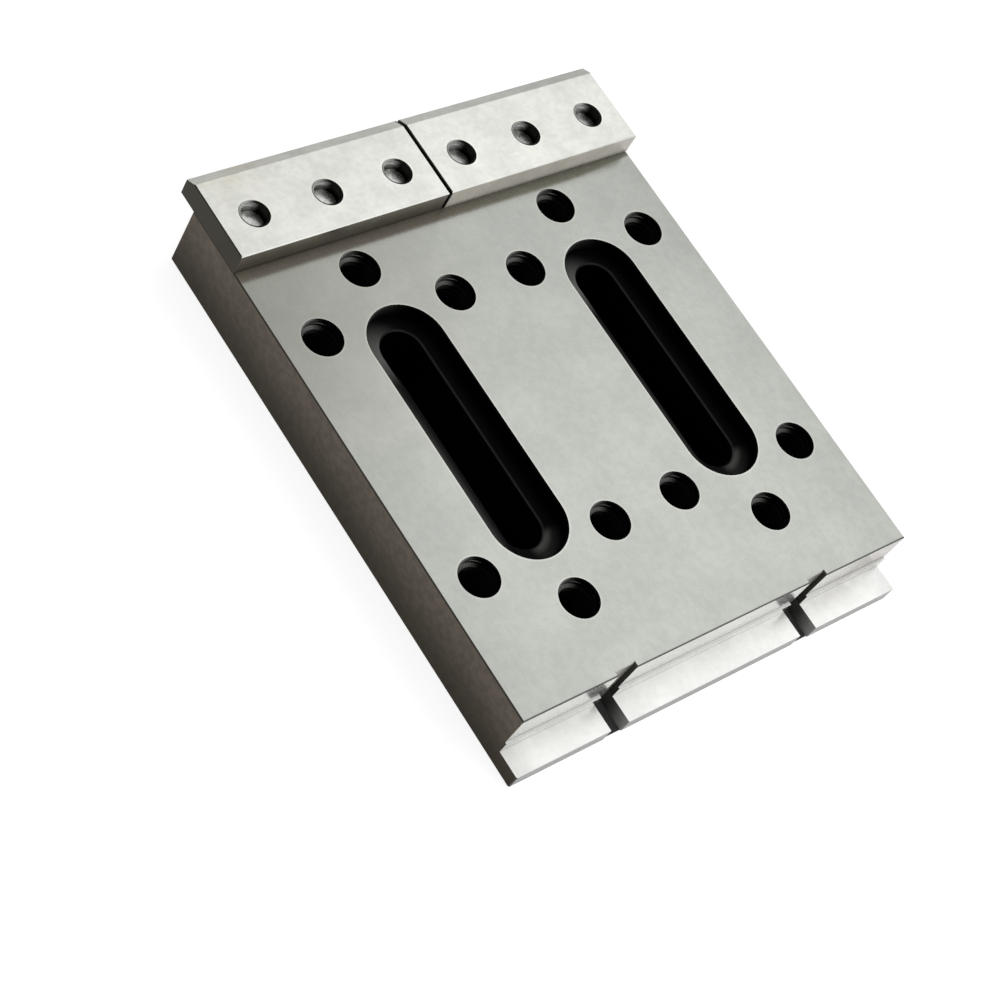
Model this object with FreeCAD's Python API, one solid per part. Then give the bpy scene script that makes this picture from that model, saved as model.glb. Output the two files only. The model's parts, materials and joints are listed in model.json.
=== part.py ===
import FreeCAD, Part
import math
import os

# Ground steel fixture plate for wire cutting: a slotted base plate with a supporting lip
# at the near end and two screwed bars that hang over the far end.
# Millimetres, +Z up, +Y along the length, origin at the bottom centre of the whole part.

# Base plate
plate_length = 120.0
plate_width = 100.0
plate_thickness = 15.0
edge_break = 0.25

# Supporting lip at the near end and the relieved face above it
lip_reach = 6.0
lip_thickness = 4.0
foot_land_height = 3.0
foot_land_stand = 0.4
wire_groove_width = 4.5
wire_groove_depth = 1.0

# Stepped clamping slots
slot_centre_from_end_hole = 17.5
slot_recess_width = 16.4
slot_recess_depth = 3.0
slot_through_width = 9.0
slot_shelf_break = 0.3

# M8 holes around each slot
clamp_hole_radius = 4.0
clamp_hole_from_side = 9.0
clamp_hole_from_middle = 9.0
end_hole_from_plate_end = 22.0
pair_hole_from_end_hole = 11.0

# Bars across the far end
bar_width = 19.5
bar_thickness = 5.0
bar_seat = 15.0
bar_gap = 0.6
bar_bevel_run = 2.3
bar_bevel_drop = 1.15
bar_edge_break = 0.2

# M6 cap screws that hold the bars down from below
screw_radius = 3.0
screw_length = 10.0
screw_grip = 7.5
screw_from_bar_end = 7.85
screw_from_bar_front = 8.0
screw_head_radius = 5.0
screw_head_height = 6.0
screw_head_break = 0.4
screw_tip_break = 0.5
screw_socket_across = 5.0
screw_socket_depth = 3.0
screw_counterbore_clearance = 0.5
screw_shank_clearance = 0.3
screw_thread_clearance = 0.05

# Derived places
overall_length = plate_length + bar_width - bar_seat
near_end = -overall_length / 2
far_end = near_end + plate_length
near_face = near_end + lip_reach
half_width = plate_width / 2
bar_front = far_end - bar_seat
bar_length = (plate_width - bar_gap) / 2
bar_middle = (bar_gap + bar_length) / 2
screw_row = bar_front + screw_from_bar_front
screw_pitch = bar_length / 2 - screw_from_bar_end
screw_seat = plate_thickness - screw_grip
clear = 1.0

# Each slot lies midway between its outer and inner holes, and the pattern fills the plate's length
pattern_middle = near_end + plate_length / 2
outer_holes = half_width - clamp_hole_from_side
hole_side = (outer_holes - clamp_hole_from_middle) / 2
slot_middle = clamp_hole_from_middle + hole_side
slot_middles = (-slot_middle, slot_middle)
end_hole_run = plate_length - 2 * end_hole_from_plate_end
pair_hole_run = end_hole_run - 2 * pair_hole_from_end_hole
slot_centre_run = end_hole_run - 2 * slot_centre_from_end_hole


def point(x, y, z):
    return FreeCAD.Vector(x, y, z)


def box(x_range, y_range, z_range):
    size = [high - low for low, high in (x_range, y_range, z_range)]
    return Part.makeBox(*size, point(x_range[0], y_range[0], z_range[0]))


def cylinder(radius, x, y, z_range):
    return Part.makeCylinder(radius, z_range[1] - z_range[0], point(x, y, z_range[0]))


def profile_along_x(outline, x_range):
    corners = [point(x_range[0], y, z) for y, z in outline]
    face = Part.Face(Part.makePolygon(corners + corners[:1]))
    return face.extrude(point(x_range[1] - x_range[0], 0, 0))


def obround(width, x, y, z_range):
    # Straight sided slot shape with half round ends, its end centres slot_centre_run apart.
    radius = width / 2
    half_run = slot_centre_run / 2
    z = z_range[0]
    corners = [point(x + side * radius, y + end * half_run, z)
               for side, end in ((1, -1), (1, 1), (-1, 1), (-1, -1))]
    far_arc = Part.Arc(corners[1], point(x, y + half_run + radius, z), corners[2]).toShape()
    near_arc = Part.Arc(corners[3], point(x, y - half_run - radius, z), corners[0]).toShape()
    sides = [Part.makeLine(corners[0], corners[1]), Part.makeLine(corners[2], corners[3])]
    wire = Part.Wire([sides[0], far_arc, sides[1], near_arc])
    return Part.Face(wire).extrude(point(0, 0, z_range[1] - z))


def edges_at_height(shape, height):
    found = []
    for edge in shape.Edges:
        bounds = edge.BoundBox
        if abs(bounds.ZMin - height) < 1e-4 and abs(bounds.ZMax - height) < 1e-4:
            found.append(edge)
    return found


def upright_edges_at(shape, x, y):
    found = []
    for edge in shape.Edges:
        bounds = edge.BoundBox
        upright = bounds.ZLength > 1e-3 and bounds.XLength < 1e-4 and bounds.YLength < 1e-4
        if upright and abs(abs(bounds.Center.x) - x) < 1e-4 and abs(bounds.Center.y - y) < 1e-4:
            found.append(edge)
    return found


def clamp_hole_places():
    # Four holes flank each slot and one more stands beyond each of its ends.
    places = []
    for middle in slot_middles:
        for end in (-1, 1):
            for side in (-1, 1):
                places.append((middle + side * hole_side, pattern_middle + end * pair_hole_run / 2))
            places.append((middle, pattern_middle + end * end_hole_run / 2))
    return places


def screw_places(side):
    middle = side * bar_middle
    return [(middle + step * screw_pitch, screw_row) for step in (-1, 0, 1)]


def base_plate():
    foot_top = lip_thickness + foot_land_height
    foot_face = near_face - foot_land_stand
    outline = [(near_end, 0), (far_end, 0), (far_end, plate_thickness), (near_face, plate_thickness),
               (near_face, foot_top), (foot_face, foot_top), (foot_face, lip_thickness),
               (near_end, lip_thickness)]
    plate = profile_along_x(outline, (-half_width, half_width))

    through = (-clear, plate_thickness + clear)
    shelf = plate_thickness - slot_recess_depth
    cuts = []
    for middle in slot_middles:
        groove_x = (middle - wire_groove_width / 2, middle + wire_groove_width / 2)
        cuts.append(box(groove_x, (near_end - clear, near_face + wire_groove_depth), through))
        cuts.append(obround(slot_recess_width, middle, pattern_middle, (shelf, through[1])))
        cuts.append(obround(slot_through_width, middle, pattern_middle, through))
    for x, y in clamp_hole_places():
        cuts.append(cylinder(clamp_hole_radius, x, y, through))
    for x, y in screw_places(-1) + screw_places(1):
        cuts.append(cylinder(screw_radius + screw_shank_clearance, x, y, through))
        counterbore = screw_head_radius + screw_counterbore_clearance
        cuts.append(cylinder(counterbore, x, y, (-clear, screw_seat)))
    plate = plate.cut(cuts)

    # Every sharp edge of the top and bottom faces is broken, and the shelf inside each slot.
    broken = edges_at_height(plate, plate_thickness) + edges_at_height(plate, 0)
    for y in (near_end, far_end):
        broken += upright_edges_at(plate, half_width, y)
    plate = plate.makeChamfer(edge_break, broken)
    reach = slot_through_width / 2 + edge_break
    shelf_edges = [edge for edge in edges_at_height(plate, shelf)
                   if min(abs(abs(edge.BoundBox.XMax - m)) for m in slot_middles) < reach
                   and min(abs(abs(edge.BoundBox.XMin - m)) for m in slot_middles) < reach]
    plate = plate.makeChamfer(slot_shelf_break, shelf_edges)
    return plate


def overhang_bar(side):
    # The far top edge is bevelled, and three M6 holes run through over the plate's screws.
    bar_back = bar_front + bar_width
    bar_top = plate_thickness + bar_thickness
    outline = [(bar_front, plate_thickness), (bar_back, plate_thickness),
               (bar_back, bar_top - bar_bevel_drop), (bar_back - bar_bevel_run, bar_top),
               (bar_front, bar_top)]
    ends = sorted((side * bar_gap / 2, side * half_width))
    bar = profile_along_x(outline, ends)
    through = (plate_thickness - clear, bar_top + clear)
    bar = bar.cut([cylinder(screw_radius, x, y, through) for x, y in screw_places(side)])
    broken = edges_at_height(bar, bar_top)
    broken = [edge for edge in broken
              if edge.BoundBox.YMin < bar_back - bar_bevel_run - 1e-4]
    return bar.makeChamfer(bar_edge_break, broken)


def cap_screw(x, y):
    # One revolved profile for head and shank, head down, then the hexagon socket.
    head_bottom = screw_seat - screw_head_height
    tip = screw_seat + screw_length
    shank = screw_radius - screw_thread_clearance
    profile = [(0, head_bottom), (screw_head_radius - screw_head_break, head_bottom),
               (screw_head_radius, head_bottom + screw_head_break), (screw_head_radius, screw_seat),
               (shank, screw_seat), (shank, tip - screw_tip_break), (shank - screw_tip_break, tip),
               (0, tip)]
    corners = [point(x + r, y, z) for r, z in profile]
    face = Part.Face(Part.makePolygon(corners + corners[:1]))
    screw = face.revolve(point(x, y, 0), point(0, 0, 1), 360)

    corner_radius = screw_socket_across / 2 / math.cos(math.pi / 6)
    hexagon = [point(x + corner_radius * math.cos(k * math.pi / 3),
                     y + corner_radius * math.sin(k * math.pi / 3), head_bottom - clear)
               for k in range(7)]
    socket = Part.Face(Part.makePolygon(hexagon)).extrude(point(0, 0, clear + screw_socket_depth))
    return screw.cut(socket)


pieces = {
    "base_plate": base_plate(),
    "overhang_bar_left": overhang_bar(-1),
    "overhang_bar_right": overhang_bar(1),
}
for number, (x, y) in enumerate(screw_places(-1) + screw_places(1), start=1):
    pieces[f"cap_screw_{number}"] = cap_screw(x, y)

os.makedirs("parts", exist_ok=True)
for name, shape in pieces.items():
    solid = shape.Solids[0] if len(shape.Solids) == 1 else shape
    print(name, "valid", solid.isValid(), "solids", len(shape.Solids), "volume", round(solid.Volume, 2))
    solid.exportStep(f"parts/{name}.step")
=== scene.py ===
import json
import math
from types import SimpleNamespace

import bmesh
import bpy
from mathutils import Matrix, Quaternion, Vector


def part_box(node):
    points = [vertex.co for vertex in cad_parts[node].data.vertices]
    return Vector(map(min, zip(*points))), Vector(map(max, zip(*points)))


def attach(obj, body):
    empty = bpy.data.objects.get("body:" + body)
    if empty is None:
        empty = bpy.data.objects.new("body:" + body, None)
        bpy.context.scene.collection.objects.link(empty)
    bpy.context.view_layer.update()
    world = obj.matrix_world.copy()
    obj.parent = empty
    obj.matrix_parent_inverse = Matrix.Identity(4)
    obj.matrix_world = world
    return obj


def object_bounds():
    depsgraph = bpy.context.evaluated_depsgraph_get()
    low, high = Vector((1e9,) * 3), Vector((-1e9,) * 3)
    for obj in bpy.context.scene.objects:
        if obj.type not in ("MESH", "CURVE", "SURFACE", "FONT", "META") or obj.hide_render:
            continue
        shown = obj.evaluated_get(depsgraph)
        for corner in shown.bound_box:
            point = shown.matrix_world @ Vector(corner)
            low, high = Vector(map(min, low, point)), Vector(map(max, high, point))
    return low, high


# Ground steel fixture plate with two overhanging bars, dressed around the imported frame.
# Metres throughout; +Y runs from the supporting lip to the bars, +Z up.
mm = 0.001
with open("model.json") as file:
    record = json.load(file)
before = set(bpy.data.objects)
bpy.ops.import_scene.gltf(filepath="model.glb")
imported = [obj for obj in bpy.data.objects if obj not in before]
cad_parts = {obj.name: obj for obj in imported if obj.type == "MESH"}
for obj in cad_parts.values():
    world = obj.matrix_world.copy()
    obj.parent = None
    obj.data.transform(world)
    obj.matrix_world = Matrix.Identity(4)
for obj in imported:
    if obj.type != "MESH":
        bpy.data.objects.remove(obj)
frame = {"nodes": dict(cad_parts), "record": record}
nodes = frame["nodes"]
cadLow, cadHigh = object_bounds()
print("frame loaded with", len(nodes), "nodes")

# Places read from the frame
mounts = {mount["name"]: mount for mount in frame["record"]["mounts"]}
clampMounts = ("m8_holes_outer", "m8_holes_inner", "m8_holes_end")
plateLow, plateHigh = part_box("base_plate")
barLow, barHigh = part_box("overhang_bar_left")
screwNames = sorted(name for name in nodes if name.startswith("cap_screw"))
barNames = sorted(name for name in nodes if name.startswith("overhang_bar"))
screwBoxes = [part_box(name) for name in screwNames]
patternMiddle = Vector(mounts["m8_holes_outer"]["pos_m"])

# A point no further than this from a face lies on it
faceSlack = 0.02 * mm
nearEnd = {"faceY": plateLow.y + 6.0 * mm + faceSlack, "lipTop": plateLow.z + 4.0 * mm,
           "footTop": plateLow.z + 7.0 * mm, "grooveDepth": 1.0 * mm}


def holeSteps(mountName):
    dims = mounts[mountName]["dims"]
    return dims["spacing_x_mm"] * mm / 2, dims["spacing_y_mm"] * mm / 2


def holeCentres(mountName):
    halfX, halfY = holeSteps(mountName)
    return [patternMiddle + Vector((side * halfX, way * halfY, 0)) for side in (-1, 1) for way in (-1, 1)]


# Openings as the materials see them: folded about the middle of the hole pattern
slotShape = {"Side": holeSteps("m8_holes_end")[0], "Middle Y": patternMiddle.y, "Along": 0.0,
             "Half Run": 20.5 * mm, "Radius": 8.45 * mm, "Rim Width": 0.5 * mm,
             "Top": plateHigh.z - faceSlack}
clampShapes = [{"Side": holeSteps(name)[0], "Middle Y": patternMiddle.y, "Along": holeSteps(name)[1],
                "Half Run": 0.0, "Radius": 4.25 * mm, "Rim Width": 0.45 * mm,
                "Top": plateHigh.z - faceSlack} for name in clampMounts]
barShapes = [{"Side": (low.x + high.x) / 2, "Middle Y": (low.y + high.y) / 2, "Along": 0.0,
              "Half Run": 0.0, "Radius": 3.2 * mm, "Rim Width": 0.6 * mm,
              "Top": barHigh.z - faceSlack} for low, high in screwBoxes if low.x > 0]

# Thread ridges: one helical rib on each threaded wall, its root sunk a little into the steel
clampThread = {"wallRadius": mounts["m8_holes_outer"]["dims"]["hole_r_mm"] * mm, "pitch": 1.25 * mm,
               "depth": 0.62 * mm, "crest": 0.16 * mm, "stepsPerTurn": 44, "fadeTurns": 0.7,
               "endGap": 0.45 * mm}
barThread = {"wallRadius": 3.0 * mm, "pitch": 1.0 * mm, "depth": 0.45 * mm, "crest": 0.13 * mm,
             "stepsPerTurn": 40, "fadeTurns": 0.5, "endGap": 0.4 * mm}
ribRoot = {"sink": 0.05 * mm, "leastSwell": 0.03, "leastShare": 0.16, "moreShare": 0.3}

# Worn mouth of a bar's hole: how far each corner lies past the wall and above the bar's top
wornMouth = {"corners": ((0.05 * mm, -0.05 * mm), (-0.32 * mm, -0.22 * mm), (-0.32 * mm, -0.36 * mm),
                         (0.05 * mm, -0.55 * mm)), "steps": 64}


def addRing(mesh, centre, angle, height, corners):
    return [mesh.verts.new((centre.x + radius * math.cos(angle), centre.y + radius * math.sin(angle),
                            height + rise)) for radius, rise in corners]


def joinRings(mesh, rings, nextRings):
    for ring, nextRing in zip(rings, nextRings):
        for place in range(len(ring)):
            after = (place + 1) % len(ring)
            mesh.faces.new((ring[place], ring[after], nextRing[after], nextRing[place]))


def addRib(mesh, centre, lowZ, highZ, thread):
    pitch = thread["pitch"]
    start = lowZ + thread["endGap"] + pitch / 2
    turns = (highZ - lowZ - 2 * thread["endGap"] - pitch) / pitch
    steps = int(turns * thread["stepsPerTurn"])
    root = thread["wallRadius"] + ribRoot["sink"]
    rings = []
    for step in range(steps + 1):
        turn = turns * step / steps
        fade = min(1, turn / thread["fadeTurns"], (turns - turn) / thread["fadeTurns"])
        swell = max(ribRoot["leastSwell"], fade)
        crest = thread["wallRadius"] - thread["depth"] * swell
        rootHalf = pitch * (ribRoot["leastShare"] + ribRoot["moreShare"] * swell)
        crestHalf = thread["crest"] / 2 * swell
        corners = ((root, -rootHalf), (crest, -crestHalf), (crest, crestHalf), (root, rootHalf))
        rings.append(addRing(mesh, centre, 2 * math.pi * turn, start + pitch * turn, corners))
    joinRings(mesh, rings, rings[1:])
    mesh.faces.new(rings[0][::-1])
    mesh.faces.new(rings[-1])


def addMouth(mesh, centre, highZ, thread):
    corners = [(thread["wallRadius"] + past, rise) for past, rise in wornMouth["corners"]]
    rings = [addRing(mesh, centre, 2 * math.pi * step / wornMouth["steps"], highZ, corners)
             for step in range(wornMouth["steps"])]
    joinRings(mesh, rings, rings[1:] + rings[:1])


def threadPiece(name, centre, lowZ, highZ, thread, worn=False):
    mesh = bmesh.new()
    addRib(mesh, centre, lowZ, highZ, thread)
    if worn:
        addMouth(mesh, centre, highZ, thread)
    bmesh.ops.recalc_face_normals(mesh, faces=mesh.faces)
    data = bpy.data.meshes.new(name)
    mesh.to_mesh(data)
    mesh.free()
    piece = bpy.data.objects.new(name, data)
    bpy.context.scene.collection.objects.link(piece)
    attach(piece, "root")
    return piece


clampHoles = [centre for name in clampMounts for centre in holeCentres(name)]
clampRibs = [threadPiece(f"clamp_thread_{number}", centre, plateLow.z, plateHigh.z, clampThread)
             for number, centre in enumerate(clampHoles, start=1)]
barRibs = [threadPiece(f"bar_thread_{number}", (low + high) / 2, high.z, barHigh.z, barThread, worn=True)
           for number, (low, high) in enumerate(screwBoxes, start=1)]
print("thread ridges cut in", len(clampRibs), "clamp holes and", len(barRibs), "bar holes")


# Node helpers: a colour is given as its red, green and blue, or as one grey
def put(tree, socket, value):
    if isinstance(value, bpy.types.NodeSocket):
        tree.links.new(value, socket)
    elif socket.type == "RGBA":
        channels = (value, value, value) if isinstance(value, float) else value
        socket.default_value = (*channels, 1)
    else:
        socket.default_value = value


def addNode(tree, kind, values=None, **settings):
    made = tree.nodes.new(kind)
    for name, value in settings.items():
        setattr(made, name, value)
    for name, value in (values or {}).items():
        put(tree, made.inputs[name], value)
    return made


def calc(tree, operation, *values):
    made = addNode(tree, "ShaderNodeMath", operation=operation)
    for place, value in enumerate(values):
        put(tree, made.inputs[place], value)
    return made.outputs[0]


def times(tree, *values):
    total = values[0]
    for value in values[1:]:
        total = calc(tree, "MULTIPLY", total, value)
    return total


def most(tree, *values):
    total = values[0]
    for value in values[1:]:
        total = calc(tree, "MAXIMUM", total, value)
    return total


def without(tree, mask):
    return calc(tree, "SUBTRACT", 1.0, mask)


def vectorCalc(tree, operation, first, second, output="Value"):
    made = addNode(tree, "ShaderNodeVectorMath", operation=operation)
    put(tree, made.inputs[0], first)
    put(tree, made.inputs[1], second)
    return made.outputs[output]


def ramp(tree, value, low, high, toLow=0.0, toHigh=1.0):
    made = addNode(tree, "ShaderNodeMapRange", {"Value": value, "From Min": low, "From Max": high,
                                                "To Min": toLow, "To Max": toHigh})
    made.interpolation_type = "SMOOTHSTEP"
    return made.outputs[0]


# Where a mix node has its factor, its low and high values and its result
mixPlaces = {"FLOAT": (0, 2, 3, 0), "RGBA": (0, 6, 7, 2)}


def mixed(tree, factor, low, high, kind="FLOAT", way="MIX"):
    made = addNode(tree, "ShaderNodeMix", data_type=kind, blend_type=way)
    *places, result = mixPlaces[kind]
    for place, value in zip(places, (factor, low, high)):
        put(tree, made.inputs[place], value)
    return made.outputs[result]


def blend(tree, factor, low, high):
    return mixed(tree, factor, low, high, "RGBA")


def tinted(tree, mask, colour, tint):
    return mixed(tree, mask, colour, tint, "RGBA", "MULTIPLY")


def shaded(tree, colour, shade):
    return tinted(tree, 1.0, colour, shade)


def noise(tree, vector, scale, detail, roughness):
    return addNode(tree, "ShaderNodeTexNoise", {"Vector": vector, "Scale": scale, "Detail": detail,
                                                "Roughness": roughness}).outputs["Fac"]


def placeIn(tree):
    return addNode(tree, "ShaderNodeTexCoord").outputs["Object"]


def axesOf(tree, vector):
    return addNode(tree, "ShaderNodeSeparateXYZ", {"Vector": vector}).outputs


def surfaceNormal(tree):
    return addNode(tree, "ShaderNodeNewGeometry").outputs["Normal"]


def newGroup(name, inputs, outputs):
    group = bpy.data.node_groups.new(name, "ShaderNodeTree")
    for label, value in inputs.items():
        kind = "NodeSocketFloat" if isinstance(value, float) else "NodeSocketVector"
        group.interface.new_socket(name=label, in_out="INPUT", socket_type=kind).default_value = value
    for label in outputs:
        group.interface.new_socket(name=label, in_out="OUTPUT", socket_type="NodeSocketFloat")
    return group, group.nodes.new("NodeGroupInput").outputs, group.nodes.new("NodeGroupOutput").inputs


def useGroup(tree, group, values):
    made = addNode(tree, "ShaderNodeGroup", node_tree=group)
    for name, value in values.items():
        put(tree, made.inputs[name], value)
    return made.outputs


# Ground finish: fine parallel marks, a mottled speckle and broad soft clouds
grains = {"marks": {"detail": 3.0, "roughness": 0.65}, "speckle": {"detail": 2.5, "roughness": 0.6},
          "clouds": {"detail": 3.0, "roughness": 0.55}, "band": (0.3, 0.7), "speckleHeight": 0.6}


def makeGroundFinish():
    group, given, result = newGroup(
        "groundFinish", {"Stretch": (5000, 250, 5000), "Speckle Size": 0.9 * mm, "Cloud Size": 12.0 * mm},
        ["Marks", "Speckle", "Clouds", "Height"])
    place = placeIn(group)
    stretched = vectorCalc(group, "MULTIPLY", place, given["Stretch"], "Vector")
    marks = noise(group, stretched, 1.0, **grains["marks"])
    speckle = noise(group, place, calc(group, "DIVIDE", 1.0, given["Speckle Size"]), **grains["speckle"])
    clouds = noise(group, place, calc(group, "DIVIDE", 1.0, given["Cloud Size"]), **grains["clouds"])
    for label, grain in (("Marks", marks), ("Speckle", speckle), ("Clouds", clouds)):
        put(group, result[label], ramp(group, grain, *grains["band"]))
    put(group, result["Height"], calc(group, "ADD", marks, times(group, speckle, grains["speckleHeight"])))
    return group


# Four mirrored holes or slots: what lies inside them, the rim around them, and the way across
def makeOpeningMask():
    group, given, result = newGroup(
        "openingMask", {"Side": 25.0 * mm, "Middle Y": 0.0, "Along": 0.0, "Half Run": 0.0,
                        "Radius": 4.0 * mm, "Top": 14.7 * mm, "Rim Width": 0.6 * mm},
        ["Inside", "Rim", "Across"])
    axes = axesOf(group, placeIn(group))
    across = calc(group, "SUBTRACT", calc(group, "ABSOLUTE", axes["X"]), given["Side"])
    fromMiddle = calc(group, "ABSOLUTE", calc(group, "SUBTRACT", axes["Y"], given["Middle Y"]))
    beyond = calc(group, "ABSOLUTE", calc(group, "SUBTRACT", fromMiddle, given["Along"]))
    beyond = calc(group, "MAXIMUM", calc(group, "SUBTRACT", beyond, given["Half Run"]), 0.0)
    distance = calc(group, "SQRT", calc(group, "ADD", times(group, across, across),
                                        times(group, beyond, beyond)))
    within = calc(group, "LESS_THAN", distance, given["Radius"])
    below = calc(group, "LESS_THAN", axes["Z"], given["Top"])
    rimEdge = calc(group, "ADD", given["Radius"], given["Rim Width"])
    rim = ramp(group, distance, given["Radius"], rimEdge, 1.0, 0.0)
    put(group, result["Inside"], times(group, within, below))
    put(group, result["Rim"], times(group, rim, without(group, below)))
    put(group, result["Across"], times(group, across, calc(group, "SIGN", axes["X"])))
    return group


# Light that reaches one side of a wall, strongest at its upper edge
def makeWallGlow():
    group, given, result = newGroup(
        "wallGlow", {"Direction": (0.45, -0.89, 0), "Top": 15.0 * mm, "Depth": 3.5 * mm, "Least": 0.45,
                     "Most": 0.98}, ["Glow"])
    axes = axesOf(group, placeIn(group))
    turned = vectorCalc(group, "DOT_PRODUCT", surfaceNormal(group), given["Direction"])
    bottom = calc(group, "SUBTRACT", given["Top"], given["Depth"])
    put(group, result["Glow"], times(group, ramp(group, turned, given["Least"], given["Most"]),
                                     ramp(group, axes["Z"], bottom, given["Top"])))
    return group


# A patch of stain with a ragged edge
stainEdge = {"detail": 4.0, "roughness": 0.5, "core": 0.2, "band": (0.35, 0.65)}


def makeStainPatch():
    group, given, result = newGroup("stainPatch", {"Centre": (0, 0, 0), "Reach": 10.0 * mm,
                                                   "Grain": 300.0}, ["Mask"])
    place = placeIn(group)
    apart = vectorCalc(group, "DISTANCE", place, given["Centre"])
    ragged = noise(group, place, given["Grain"], stainEdge["detail"], stainEdge["roughness"])
    near = ramp(group, calc(group, "DIVIDE", apart, given["Reach"]), stainEdge["core"], 1.0, 1.0, 0.0)
    put(group, result["Mask"], times(group, near, ramp(group, ragged, *stainEdge["band"])))
    return group


groundFinish = makeGroundFinish()
openingMask = makeOpeningMask()
wallGlow = makeWallGlow()
stainPatch = makeStainPatch()
print("shader groups ready")


# Steel: each material starts with the ground finish and ends with its colour, roughness and bump
def startSteel(name, look):
    material = bpy.data.materials.new(name)
    material.use_nodes = True
    tree = material.node_tree
    shader = tree.nodes["Principled BSDF"]
    shader.inputs["Metallic"].default_value = 1.0
    finish = useGroup(tree, groundFinish, {"Stretch": look["stretch"], "Speckle Size": look["speckleSize"],
                                           "Cloud Size": look["cloudSize"]})
    place = placeIn(tree)
    return SimpleNamespace(material=material, tree=tree, shader=shader, look=look, finish=finish,
                           place=place, axes=axesOf(tree, place), normal=surfaceNormal(tree))


def finishSteel(steel, colour, rough, bumpShare=1.0):
    tree, look, inputs = steel.tree, steel.look, steel.shader.inputs
    put(tree, inputs["Base Color"], colour)
    grain = times(tree, steel.finish["Speckle"], look["roughGrain"])
    put(tree, inputs["Roughness"], calc(tree, "ADD", rough, grain))
    bump = addNode(tree, "ShaderNodeBump", {"Height": times(tree, steel.finish["Height"], bumpShare),
                                            "Strength": look["bumpStrength"],
                                            "Distance": look["bumpDepth"]})
    put(tree, inputs["Normal"], bump.outputs[0])


def weather(steel, colour):
    depths = {"Clouds": "cloudDepth", "Speckle": "speckleDepth", "Marks": "markDepth"}
    shades = [ramp(steel.tree, steel.finish[label], 0.0, 1.0, 1 - steel.look[depth], 1.0)
              for label, depth in depths.items()]
    return shaded(steel.tree, colour, times(steel.tree, *shades))


def turnedTo(steel, direction):
    return vectorCalc(steel.tree, "DOT_PRODUCT", steel.normal, direction)


def facing(steel, direction, least=0.9):
    return calc(steel.tree, "GREATER_THAN", turnedTo(steel, direction), least)


def eitherWay(steel, direction, least=0.9):
    return calc(steel.tree, "GREATER_THAN", calc(steel.tree, "ABSOLUTE", turnedTo(steel, direction)), least)


def under(steel, axis, limit):
    return calc(steel.tree, "LESS_THAN", steel.axes[axis], limit)


def over(steel, axis, limit):
    return calc(steel.tree, "GREATER_THAN", steel.axes[axis], limit)


def lightOnWall(steel, top, look):
    least, greatest = look["glowFacing"]
    return useGroup(steel.tree, wallGlow, {"Top": top, "Depth": look["glowDepth"], "Least": least,
                                           "Most": greatest})["Glow"]


def stainOn(steel, look):
    return useGroup(steel.tree, stainPatch, {"Centre": look["stainCentre"],
                                             "Reach": look["stainReach"]})["Mask"]


# Base plate: dull ground top, bright lip end, sides painted dark as shade, slots and holes painted near
# black as shade
plateLook = {"top": (0.522, 0.537, 0.498), "fringe": 0.6 * mm, "fringeShade": 0.84,
             "edge": (0.04, 0.036, 0.032), "edgeFacing": 0.5, "topRoughness": 0.25, "sideRoughness": 0.5,
             "deepRoughness": 0.5, "roughGrain": 0.04, "topDepth": 0.1 * mm, "stretch": (2600, 130, 2600),
             "speckleSize": 1.6 * mm, "cloudSize": 12 * mm, "speckleDepth": 0.07, "cloudDepth": 0.07,
             "markDepth": 0.02, "bumpStrength": 0.03, "bumpDepth": 0.05 * mm}


def markPlate(plate):
    tree = plate.tree
    plate.offMiddle = calc(tree, "ABSOLUTE", plate.axes["X"])
    plate.slot = useGroup(tree, openingMask, slotShape)
    plate.holes = [useGroup(tree, openingMask, shape) for shape in clampShapes]
    plate.inside = most(tree, plate.slot["Inside"], *[hole["Inside"] for hole in plate.holes])
    plate.side = eitherWay(plate, (1, 0, 0))
    plate.level = eitherWay(plate, (0, 0, 1))
    plate.upright = facing(plate, (0, -1, 0))
    plate.end = under(plate, "Y", nearEnd["faceY"])


# its top: painted shade, darker towards the bars, the sides and the far left corner, and painted highlights
# around the slots and holes
topShadeAndHighlights = {"farBand": (plateLow.y + 45 * mm, plateLow.y + 105 * mm), "farTone": 0.86,
           "sideBand": (30 * mm, 50 * mm), "sideTone": 0.9,
           "corner": (plateLow.x, barLow.y, plateHigh.z), "cornerReach": 62 * mm,
           "cornerShade": (0.79, 0.78, 0.75), "slotRimHighlight": 1.25, "holeRimHighlight": 1.18}
# the painted shadow along the bars' fronts, browner on the left and narrower at the far right
barShadow = {"start": 2.9 * mm, "full": 1.8 * mm, "left": (0.141, 0.122, 0.095),
             "right": (0.16, 0.158, 0.118), "rightBand": (-8 * mm, 20 * mm), "jointShade": 0.82,
             "outerTone": 1.2, "taperBand": (32 * mm, 54 * mm), "taper": 0.4}


def shadeByBars(plate, top):
    tree, axes = plate.tree, plate.axes
    taper = ramp(tree, axes["X"], *barShadow["taperBand"], 1.0, barShadow["taper"])
    before = calc(tree, "DIVIDE", calc(tree, "SUBTRACT", barLow.y, axes["Y"]), taper)
    strip = blend(tree, ramp(tree, axes["X"], *barShadow["rightBand"]), barShadow["left"],
                  barShadow["right"])
    tone = ramp(tree, before, 0.0, barShadow["full"], barShadow["jointShade"], barShadow["outerTone"])
    strip = shaded(tree, weather(plate, strip), tone)
    plate.nearBars = ramp(tree, before, barShadow["full"], barShadow["start"], 1.0, 0.0)
    return blend(tree, plate.nearBars, top, strip)


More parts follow.
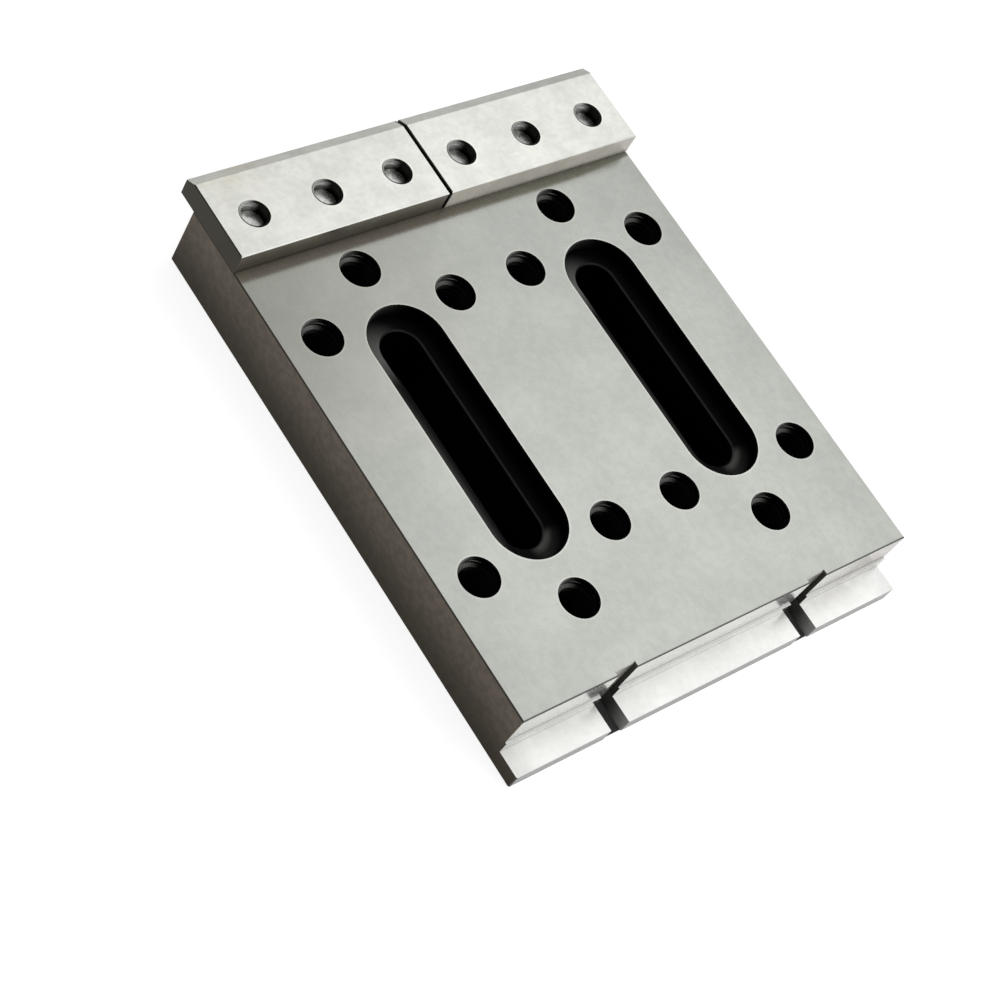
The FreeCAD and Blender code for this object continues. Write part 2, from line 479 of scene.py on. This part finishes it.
def plateTop(plate):
    tree, axes = plate.tree, plate.axes
    far = ramp(tree, axes["Y"], *topShadeAndHighlights["farBand"], 1.0, topShadeAndHighlights["farTone"])
    outer = ramp(tree, plate.offMiddle, *topShadeAndHighlights["sideBand"], 1.0, topShadeAndHighlights["sideTone"])
    fromCorner = vectorCalc(tree, "DISTANCE", plate.place, topShadeAndHighlights["corner"])
    corner = ramp(tree, fromCorner, 0.0, topShadeAndHighlights["cornerReach"], 1.0, 0.0)
    # painted shade: the top darkened in a thin band behind the near edge
    fringe = ramp(tree, calc(tree, "SUBTRACT", axes["Y"], nearEnd["faceY"]), 0.0, plateLook["fringe"],
                  plateLook["fringeShade"], 1.0)
    # painted shade: the top darkened towards the far end, the outer sides and the far left corner
    top = shaded(tree, weather(plate, plateLook["top"]), times(tree, far, outer))
    top = tinted(tree, corner, top, topShadeAndHighlights["cornerShade"])
    top = shadeByBars(plate, top)
    top = shaded(tree, top, mixed(tree, plate.level, 1.0, fringe))
    # painted highlight: a lighter ring on the top around the slots and holes
    top = tinted(tree, plate.slot["Rim"], top, topShadeAndHighlights["slotRimHighlight"])
    return tinted(tree, most(tree, *[hole["Rim"] for hole in plate.holes]), top, topShadeAndHighlights["holeRimHighlight"])


# its lip end: painted light on the lip top and painted shade on the upright faces, two thin lines of
# painted shade along the creases across the near face, painted shade on the right end and the outer ends,
# and a grey lip front in painted shade
endLook = {"colour": (0.865, 0.87, 0.845), "lip": 1.08, "upright": 0.82, "rightBand": (26 * mm, 42 * mm),
           "rightShade": (0.78, 0.75, 0.73), "outerBand": (43 * mm, 50 * mm), "outerTone": 0.86,
           "stainCentre": Vector((43, -56.3, 10.5)) * mm, "stainReach": 16 * mm,
           "stain": (0.84, 0.79, 0.77), "creaseShade": (0.45, 0.45, 0.43), "creaseBand": (0.08 * mm, 0.25 * mm),
           "frontHigh": (0.28, 0.283, 0.275), "frontLow": (0.122, 0.124, 0.12),
           "frontBand": (3.0 * mm, 3.8 * mm), "edge": (0.11, 0.11, 0.105), "edgeFacing": 0.5,
           "edgeHeight": 1 * mm, "edgeWidth": 0.35 * mm, "roughness": 0.24, "lipRoughness": 0.33,
           "bump": 0.25}


def plateEnd(plate):
    tree, axes = plate.tree, plate.axes
    heights = [calc(tree, "ABSOLUTE", calc(tree, "SUBTRACT", axes["Z"], nearEnd[line]))
               for line in ("lipTop", "footTop")]
    # painted shade: thin dark lines along the creases at the lip top and the foot top
    creaseShades = most(tree, *[ramp(tree, height, *endLook["creaseBand"], 1.0, 0.0) for height in heights])
    aboveFoot = times(tree, plate.upright, over(plate, "Z", nearEnd["footTop"]))
    # painted shade: the near face darkened towards the right end
    rightEnd = times(tree, aboveFoot, ramp(tree, axes["X"], *endLook["rightBand"]))
    # painted shade: the end darkened towards its outer sides
    outer = ramp(tree, plate.offMiddle, *endLook["outerBand"], 1.0, endLook["outerTone"])
    colour = shaded(tree, weather(plate, endLook["colour"]), outer)
    # painted light on the level faces and painted shade on the upright faces, then the right end's painted
    # shade, a stain and the creases' painted shade
    for mask, tint in ((plate.level, endLook["lip"]), (plate.upright, endLook["upright"]),
                       (rightEnd, endLook["rightShade"]),
                       (times(tree, stainOn(plate, endLook), plate.upright), endLook["stain"]),
                       (times(tree, creaseShades, plate.upright), endLook["creaseShade"])):
        colour = tinted(tree, mask, colour, tint)
    # painted shade: the lip front grey, darker towards the bottom
    front = blend(tree, ramp(tree, axes["Z"], *endLook["frontBand"]), endLook["frontLow"],
                  endLook["frontHigh"])
    ledge = blend(tree, plate.ledge, colour, grooveLook["ledge"])
    return blend(tree, under(plate, "Y", plateLow.y + faceSlack), ledge, weather(plate, front))


# painted shade: the chamfer along the near top edge coloured dark
def nearEdge(plate):
    tree = plate.tree
    return times(tree, facing(plate, (0, -1, 0), endLook["edgeFacing"]), without(tree, plate.upright),
                 over(plate, "Z", plateHigh.z - endLook["edgeHeight"]),
                 under(plate, "Y", nearEnd["faceY"] + endLook["edgeWidth"]))


# its sides in painted shade, brown-grey and darker towards the bottom, and the groove walls in painted
# shade
sideLook = {"high": (0.117, 0.098, 0.077), "low": (0.034, 0.027, 0.017), "speckle": 0.2}
grooveLook = {"wall": (0.045, 0.042, 0.036), "lipBack": (0.1, 0.1, 0.094), "lipFront": (0.45, 0.45, 0.43),
              "lipBand": (plateLow.y + 1 * mm, plateLow.y + 5.5 * mm), "backWall": (0.5, 0.49, 0.45),
              "ledge": (0.95, 0.95, 0.93), "ledgeSlack": 1 * mm, "metallic": 0.3, "fromSide": 10 * mm,
              "backSlack": 0.1 * mm}


def markGrooves(plate):
    tree = plate.tree
    back = nearEnd["faceY"] + nearEnd["grooveDepth"]
    plate.grooved = times(tree, under(plate, "Y", back), plate.side,
                          calc(tree, "LESS_THAN", plate.offMiddle, plateHigh.x - grooveLook["fromSide"]))
    plate.notched = times(tree, plate.upright, without(tree, plate.end),
                          under(plate, "Y", back + grooveLook["backSlack"]))
    plate.ledge = times(tree, plate.level, plate.end,
                        over(plate, "Z", nearEnd["lipTop"] + grooveLook["ledgeSlack"]),
                        under(plate, "Z", nearEnd["footTop"] + grooveLook["ledgeSlack"]))


def plateSides(plate):
    tree, axes = plate.tree, plate.axes
    sides = blend(tree, ramp(tree, axes["Z"], plateLow.z, plateHigh.z), sideLook["low"], sideLook["high"])
    sides = shaded(tree, sides, ramp(tree, plate.finish["Speckle"], 0.0, 1.0, 1 - sideLook["speckle"], 1.0))
    # painted shade: the lip's groove wall darker further back from the front, the other groove walls dark
    lipWall = blend(tree, ramp(tree, axes["Y"], *grooveLook["lipBand"]), grooveLook["lipFront"],
                    grooveLook["lipBack"])
    wall = blend(tree, under(plate, "Z", nearEnd["lipTop"]), grooveLook["wall"], lipWall)
    return weather(plate, blend(tree, plate.grooved, sides, wall))


# its slots and holes: painted near-black shade, with painted light where it falls on the shelves and the
# upper walls
hollowLook = {"deep": (0.004, 0.004, 0.004), "shelf": (0.12, 0.12, 0.115), "glow": (0.5, 0.5, 0.48),
              "shelfEdge": (0.024, 0.024, 0.024), "edgeFacing": 0.3, "edgeDepth": 1 * mm,
              "glowDepth": 4.0 * mm, "glowFacing": (0.45, 0.98), "slotGlow": 0.25,
              "leftBand": (-8.4 * mm, -4.2 * mm), "leftTone": 0.85, "leftRun": (-5 * mm, 18 * mm),
              "leftFade": 0.3, "farSpot": Vector((-4.9, 21, 0)) * mm, "farReach": 8.5 * mm,
              "nearSpot": Vector((0, -20.5, 0)) * mm, "nearRing": (5.2 * mm, 6.6 * mm), "nearTone": 0.5,
              "nearFade": 0.12, "nearAcross": (-1.5 * mm, 1.5 * mm), "nearRun": (-24 * mm, -22 * mm)}


def plateHollows(plate):
    tree, across = plate.tree, plate.slot["Across"]
    run = calc(tree, "SUBTRACT", plate.axes["Y"], patternMiddle.y)
    spot = addNode(tree, "ShaderNodeCombineXYZ", {"X": across, "Y": run}).outputs[0]
    leftTone = times(tree, ramp(tree, across, *hollowLook["leftBand"], hollowLook["leftTone"], 0.0),
                     ramp(tree, run, *hollowLook["leftRun"], 1.0, hollowLook["leftFade"]))
    farTone = ramp(tree, vectorCalc(tree, "DISTANCE", spot, hollowLook["farSpot"]), 0.0,
                   hollowLook["farReach"], 1.0, 0.0)
    ring = ramp(tree, vectorCalc(tree, "DISTANCE", spot, hollowLook["nearSpot"]),
                *hollowLook["nearRing"], hollowLook["nearTone"], hollowLook["nearFade"])
    nearTone = times(tree, ring, ramp(tree, across, *hollowLook["nearAcross"]),
                     ramp(tree, run, *hollowLook["nearRun"], 1.0, 0.0))
    lit = times(tree, plate.level, most(tree, leftTone, farTone, nearTone))
    glow = times(tree, lightOnWall(plate, plateHigh.z, hollowLook),
                 mixed(tree, plate.slot["Inside"], 1.0, hollowLook["slotGlow"]))
    brokenEdge = times(tree, facing(plate, (0, 0, 1), hollowLook["edgeFacing"]),
                       without(tree, plate.level),
                       under(plate, "Z", plateHigh.z - hollowLook["edgeDepth"]))
    hollow = blend(tree, lit, hollowLook["deep"], hollowLook["shelf"])
    hollow = blend(tree, glow, hollow, hollowLook["glow"])
    return blend(tree, brokenEdge, hollow,
                 blend(tree, nearTone, hollowLook["shelfEdge"], hollowLook["shelf"]))


def makePlateSteel():
    plate = startSteel("plateSteel", plateLook)
    tree = plate.tree
    markPlate(plate)
    markGrooves(plate)
    # painted shade: chamfers that face left are coloured dark like the sides
    leftEdge = times(tree, facing(plate, (-1, 0, 0), plateLook["edgeFacing"]), without(tree, plate.side))
    colour = blend(tree, plate.end, plateTop(plate), plateEnd(plate))
    for mask, paint in ((plate.notched, grooveLook["backWall"]), (nearEdge(plate), endLook["edge"]),
                        (plate.side, plateSides(plate)), (leftEdge, plateLook["edge"]),
                        (plate.inside, plateHollows(plate))):
        colour = blend(tree, mask, colour, paint)
    rough = mixed(tree, plate.end, plateLook["topRoughness"], endLook["roughness"])
    for mask, value in ((times(tree, plate.end, plate.level), endLook["lipRoughness"]),
                        (plate.side, plateLook["sideRoughness"]),
                        (plate.inside, plateLook["deepRoughness"])):
        rough = mixed(tree, mask, rough, value)
    finishSteel(plate, colour, rough, mixed(tree, plate.end, 1.0, endLook["bump"]))
    onTop = times(tree, plate.level, over(plate, "Z", plateHigh.z - plateLook["topDepth"]))
    # less metallic: the groove faces and the painted shadow strip in front of the bars
    lessMetal = times(tree, most(tree, plate.grooved, plate.notched, plate.ledge), 1 - grooveLook["metallic"])
    lessMetal = most(tree, lessMetal, times(tree, plate.nearBars, onTop))
    put(tree, plate.shader.inputs["Metallic"], without(tree, lessMetal))
    return plate.material


# Overhang bars: brighter ground steel, cut ends in painted shade, the left front in painted shade and the
# right front in painted light
barLook = {"top": (0.91, 0.914, 0.857), "rightBand": (5 * mm, 50 * mm), "rightTone": 0.92,
           "end": (0.042, 0.037, 0.028), "endFacing": 0.6, "shadedFront": (0.372, 0.35, 0.3),
           "litFront": (0.785, 0.742, 0.663), "litFrontBand": (-1 * mm, 1 * mm),
           "gapEdge": (0.02, 0.018, 0.015), "gapBand": (0.45 * mm, 0.7 * mm),
           "bevel": (0.75, 0.748, 0.745), "bevelRun": 2.3 * mm, "deep": (0.015, 0.015, 0.013),
           "glow": (0.95, 0.95, 0.92), "glowDepth": 7.0 * mm, "glowFacing": (0.1, 0.7), "rimHighlight": 1.08,
           "stain": (1.0, 0.96, 0.88), "stainCentre": Vector((-43, 67, 20)) * mm, "stainReach": 16 * mm,
           "jointShade": 0.55, "jointHeight": 1.2 * mm, "topRoughness": 0.32, "endRoughness": 0.45,
           "deepRoughness": 0.4, "roughGrain": 0.04, "stretch": (130, 2600, 2600),
           "speckleSize": 1.5 * mm, "cloudSize": 7 * mm, "speckleDepth": 0.09, "cloudDepth": 0.09,
           "markDepth": 0.03, "bumpStrength": 0.04, "bumpDepth": 0.05 * mm}


def makeBarSteel():
    bar = startSteel("barSteel", barLook)
    tree, axes = bar.tree, bar.axes
    holes = [useGroup(tree, openingMask, shape) for shape in barShapes]
    inside = most(tree, *[hole["Inside"] for hole in holes])
    rim = most(tree, *[hole["Rim"] for hole in holes])
    side = eitherWay(bar, (1, 0, 0), barLook["endFacing"])
    front = facing(bar, (0, -1, 0))
    # painted shade: the bevel at the back of each bar coloured darker
    bevel = times(tree, over(bar, "Y", barHigh.y - barLook["bevelRun"]), without(tree, side),
                  under(bar, "Z", barHigh.z - faceSlack))
    pale = times(tree, front, ramp(tree, axes["X"], *barLook["litFrontBand"]))
    offMiddle = calc(tree, "ABSOLUTE", axes["X"])
    # painted shade: dark along the gap between the two bars
    atGap = times(tree, most(tree, front, bevel), ramp(tree, offMiddle, *barLook["gapBand"], 1.0, 0.0))
    # painted shade: the bar fronts darker towards the joint with the plate
    joint = ramp(tree, axes["Z"], barLow.z, barLow.z + barLook["jointHeight"], barLook["jointShade"], 1.0)
    right = ramp(tree, axes["X"], *barLook["rightBand"], 1.0, barLook["rightTone"])

    colour = shaded(tree, weather(bar, barLook["top"]), right)
    # the bevel's painted shade, a stain, and a painted highlight on the rims of the holes
    for mask, tint in ((bevel, barLook["bevel"]), (stainOn(bar, barLook), barLook["stain"]),
                       (rim, barLook["rimHighlight"])):
        colour = tinted(tree, mask, colour, tint)
    # painted light and shade: the left bar's front dark, the right bar's front pale
    fronts = blend(tree, pale, barLook["shadedFront"], barLook["litFront"])
    colour = blend(tree, front, colour, weather(bar, fronts))
    colour = shaded(tree, colour, mixed(tree, front, 1.0, joint))
    # painted shade deep in the bar holes, with painted light on their upper walls
    hollow = blend(tree, lightOnWall(bar, barHigh.z, barLook), barLook["deep"], barLook["glow"])
    # painted shade on the gap and the cut ends
    for mask, paint in ((atGap, barLook["gapEdge"]), (side, weather(bar, barLook["end"])),
                        (inside, hollow)):
        colour = blend(tree, mask, colour, paint)
    rough = mixed(tree, side, barLook["topRoughness"], barLook["endRoughness"])
    finishSteel(bar, colour, mixed(tree, inside, rough, barLook["deepRoughness"]))
    put(tree, bar.shader.inputs["Metallic"], without(tree, pale))
    return bar.material


# Screws: turned steel, their ends scuffed in bright and dull spots
screwLook = {"top": (0.95, 0.95, 0.92), "chamfer": (0.85, 0.85, 0.82), "chamferFacing": (0.3, 0.9),
             "roughness": 0.26, "roughGrain": 0.08, "stretch": (1500, 1500, 6000),
             "speckleSize": 0.5 * mm, "cloudSize": 1.6 * mm, "speckleDepth": 0.1, "cloudDepth": 0.35,
             "markDepth": 0.08, "bumpStrength": 0.1, "bumpDepth": 0.05 * mm}


def makeScrewSteel():
    screw = startSteel("screwSteel", screwLook)
    least, greatest = screwLook["chamferFacing"]
    chamfer = times(screw.tree, facing(screw, (0, 0, 1), least),
                    without(screw.tree, facing(screw, (0, 0, 1), greatest)))
    colour = blend(screw.tree, chamfer, screwLook["top"], screwLook["chamfer"])
    finishSteel(screw, weather(screw, colour), screwLook["roughness"])
    return screw.material


# Threads: near-black painted shade with a painted glint on the upper far side
threadLook = {"deep": (0.004, 0.004, 0.004), "glow": (0.45, 0.45, 0.43), "glowDepth": 4.0 * mm,
              "glowFacing": (0.2, 0.58), "roughness": 0.5, "roughGrain": 0.1,
              "stretch": (2500, 2500, 2500), "speckleSize": 0.4 * mm, "cloudSize": 3 * mm,
              "speckleDepth": 0.2, "cloudDepth": 0.2, "markDepth": 0.1, "bumpStrength": 0.1,
              "bumpDepth": 0.03 * mm}
barThreadLook = {**threadLook, "deep": (0.015, 0.015, 0.013), "glow": (0.95, 0.95, 0.92),
                 "glowDepth": 7.0 * mm, "mouth": (0.5, 0.5, 0.47),
                 "mouthBand": (barHigh.z - 0.5 * mm, barHigh.z - 0.25 * mm),
                 "mouthDirection": (0.92, -0.39, 0), "mouthFacing": (-0.1, 0.3)}


def makeThreadSteel(name, look, top):
    thread = startSteel(name, look)
    tree = thread.tree
    colour = blend(tree, lightOnWall(thread, top, look), look["deep"], look["glow"])
    if "mouth" in look:  # the worn ring shows pale on the side that the light reaches
        atMouth = ramp(tree, thread.axes["Z"], *look["mouthBand"])
        lit = ramp(tree, turnedTo(thread, look["mouthDirection"]), *look["mouthFacing"])
        colour = blend(tree, times(tree, atMouth, lit), colour, look["mouth"])
    finishSteel(thread, weather(thread, colour), look["roughness"])
    return thread.material


def dress(pieces, material):
    for piece in pieces:
        piece.data.materials.clear()
        piece.data.materials.append(material)


dress([nodes["base_plate"]], makePlateSteel())
dress([nodes[name] for name in barNames], makeBarSteel())
dress([nodes[name] for name in screwNames], makeScrewSteel())
dress(clampRibs, makeThreadSteel("clampThreadSteel", threadLook, plateHigh.z))
dress(barRibs, makeThreadSteel("barThreadSteel", barThreadLook, barHigh.z))
print("materials on", len(nodes) + len(clampRibs) + len(barRibs), "pieces")


def towards(azimuth, elevation):
    turn, lift = math.radians(azimuth), math.radians(elevation)
    return Vector((math.sin(turn) * math.cos(lift), -math.cos(turn) * math.cos(lift), math.sin(lift)))


# Camera at the photograph's angle
view = {"aim": Vector((-42.4, -7.4, 15.0)) * mm, "distance": 416.0 * mm, "azimuth": -62.72,
        "elevation": 51.17, "roll": 35.01, "lens": 83.6, "sensor": 36.0, "shiftX": 0.0914,
        "shiftY": -0.0197, "nearest": 0.01, "furthest": 50}
back = towards(view["azimuth"], view["elevation"])
cameraData = bpy.data.cameras.new("photoCamera")
cameraData.sensor_width = view["sensor"]
cameraData.lens = view["lens"]
cameraData.shift_x, cameraData.shift_y = view["shiftX"], view["shiftY"]
cameraData.clip_start, cameraData.clip_end = view["nearest"], view["furthest"]
camera = bpy.data.objects.new("photoCamera", cameraData)
bpy.context.scene.collection.objects.link(camera)
camera.location = view["aim"] + back * view["distance"]
camera.rotation_mode = "QUATERNION"
camera.rotation_quaternion = ((-back).to_track_quat("-Z", "Y")
                              @ Quaternion((0, 0, 1), math.radians(view["roll"])))
bpy.context.scene.camera = camera

# Floor: white paper that the steel mirrors too, its shadow left in it, with painted shade where the plate
# lies on it and a faint painted glow under the grooves
floorLook = {"reach": 20.0, "drop": 0.02 * mm, "paper": 0.5, "under": 0.05, "glow": 0.77,
             "grooveGlow": 0.012, "inset": 0.3 * mm}
white = (1, 1, 1)


def makePaper():
    material = bpy.data.materials.new("whitePaper")
    material.use_nodes = True
    tree = material.node_tree
    tree.nodes.clear()
    axes = axesOf(tree, placeIn(tree))
    halfLength = (plateHigh.y - plateLow.y) / 2
    offMiddle = calc(tree, "ABSOLUTE", axes["X"])
    fromMiddle = calc(tree, "ABSOLUTE", calc(tree, "SUBTRACT", axes["Y"], plateLow.y + halfLength))
    covered = times(tree, calc(tree, "LESS_THAN", offMiddle, plateHigh.x - floorLook["inset"]),
                    calc(tree, "LESS_THAN", fromMiddle, halfLength - floorLook["inset"]))
    atGroove = calc(tree, "LESS_THAN", axes["Y"], nearEnd["faceY"] + nearEnd["grooveDepth"])
    lightPath = addNode(tree, "ShaderNodeLightPath").outputs
    seen = most(tree, lightPath["Is Camera Ray"], lightPath["Is Glossy Ray"],
                lightPath["Is Transmission Ray"])
    strength = calc(tree, "ADD", mixed(tree, covered, floorLook["glow"], 0.0),
                    times(tree, covered, atGroove, floorLook["grooveGlow"]))
    diffuse = addNode(tree, "ShaderNodeBsdfDiffuse",
                      {"Color": mixed(tree, covered, floorLook["paper"], floorLook["under"])})
    glowing = addNode(tree, "ShaderNodeEmission", {"Color": white, "Strength": times(tree, seen, strength)})
    summed = addNode(tree, "ShaderNodeAddShader")
    put(tree, summed.inputs[0], diffuse.outputs[0])
    put(tree, summed.inputs[1], glowing.outputs[0])
    addNode(tree, "ShaderNodeOutputMaterial", {"Surface": summed.outputs[0]})
    return material


reach = floorLook["reach"]
floorMesh = bpy.data.meshes.new("floor")
floorMesh.from_pydata([(-reach, -reach, 0), (reach, -reach, 0), (reach, reach, 0), (-reach, reach, 0)], [],
                      [(0, 1, 2, 3)])
floorMesh.materials.append(makePaper())
floor = bpy.data.objects.new("floor", floorMesh)
floor.location.z = cadLow.z - floorLook["drop"]
bpy.context.scene.collection.objects.link(floor)

# Light: a soft dome that is paler at the horizon, one large softbox and two smaller ones
dome = {"high": 0.42, "low": 0.85, "band": (0.0, 0.3)}
world = bpy.data.worlds.new("studio")
world.use_nodes = True
tree = world.node_tree
direction = addNode(tree, "ShaderNodeTexCoord").outputs["Generated"]
up = axesOf(tree, direction)["Z"]
background = tree.nodes["Background"]
put(tree, background.inputs["Strength"], ramp(tree, up, *dome["band"], dome["low"], dome["high"]))
put(tree, background.inputs["Color"], white)
bpy.context.scene.world = world

softboxDistance = 0.9
softboxes = [{"name": "keySoftbox", "azimuth": 93, "elevation": 48, "size": 0.96, "glow": 0.79},
             {"name": "fillSoftbox", "azimuth": 250, "elevation": 45, "size": 0.6, "glow": 0.7},
             {"name": "frontSoftbox", "azimuth": 25, "elevation": 32, "size": 0.8, "glow": 0.75}]
for box in softboxes:
    lampData = bpy.data.lights.new(box["name"], "AREA")
    lampData.shape = "SQUARE"
    lampData.size = box["size"]
    lampData.energy = box["glow"] * math.pi * box["size"] ** 2
    lamp = bpy.data.objects.new(box["name"], lampData)
    lamp.visible_camera = False
    bpy.context.scene.collection.objects.link(lamp)
    away = towards(box["azimuth"], box["elevation"])
    lamp.location = away * softboxDistance
    lamp.rotation_mode = "QUATERNION"
    lamp.rotation_quaternion = (-away).to_track_quat("-Z", "Y")
bpy.context.scene.view_settings.view_transform = "Standard"
print("camera, floor and light set")
